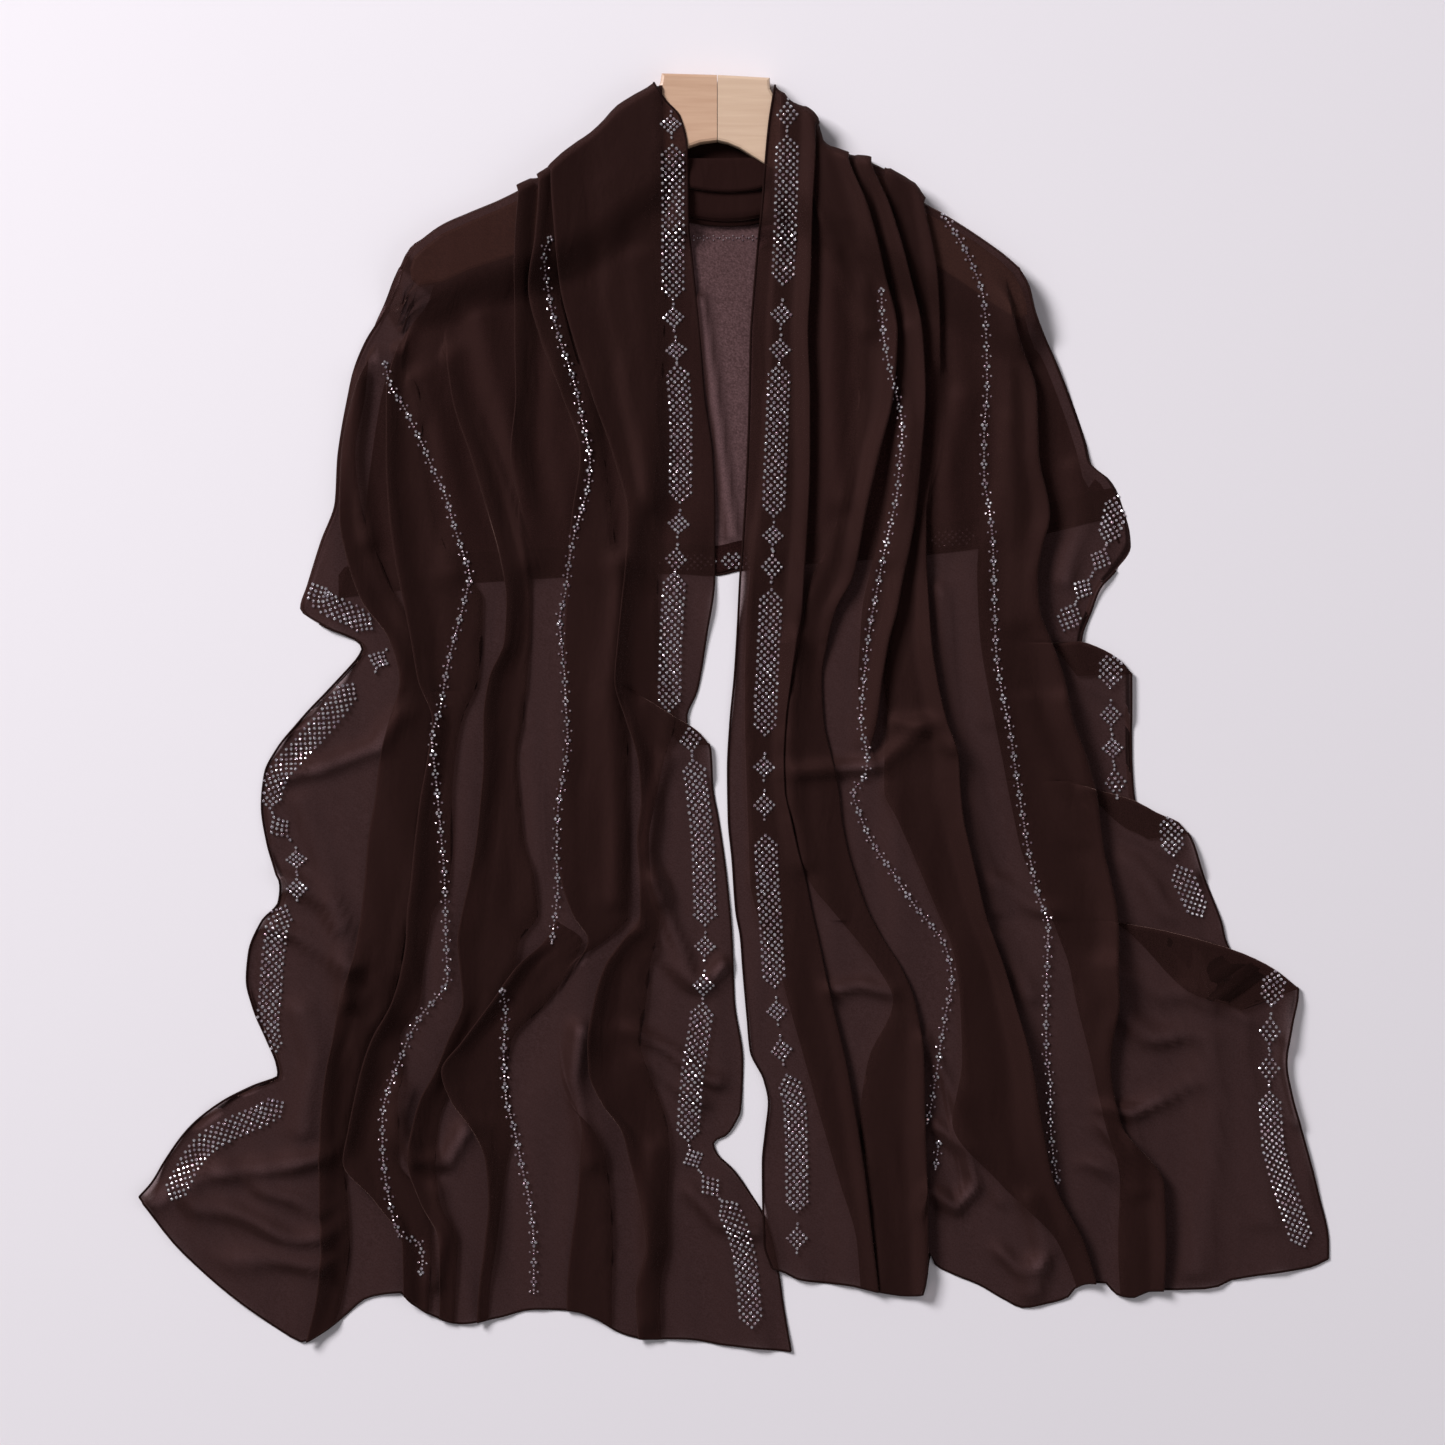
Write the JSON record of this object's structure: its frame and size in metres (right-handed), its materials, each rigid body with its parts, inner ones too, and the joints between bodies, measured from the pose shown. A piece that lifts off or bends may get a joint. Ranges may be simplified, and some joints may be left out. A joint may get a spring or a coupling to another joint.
{
  "type": "chiffon scarf on a wooden hanger, laid flat",
  "caption": "Long dark brown chiffon scarf laid flat, its ends folded over the arms of a pale wooden hanger and lying in front in lengthwise pleats.",
  "frame": {"origin": "centre of the bounding box, on the surface the scarf lies on", "axes": "+Y from the lower hems up to the shoulders, +Z off the surface towards the viewer, +X to the viewer's right"},
  "size_m": [0.784, 0.8414, 0.0288],
  "materials": {
    "back": "matte sheer chiffon",
    "neck": "matte sheer chiffon",
    "front": "matte sheer chiffon",
    "beech": "satin lacquer",
    "maple": "satin lacquer"
  },
  "bodies": {
    "root": {"back_panel": "back", "neck_gather": "neck", "front_left": "front", "front_right": "front", "hanger_left": "beech", "hanger_right": "maple"}
  },
  "joints": []
}
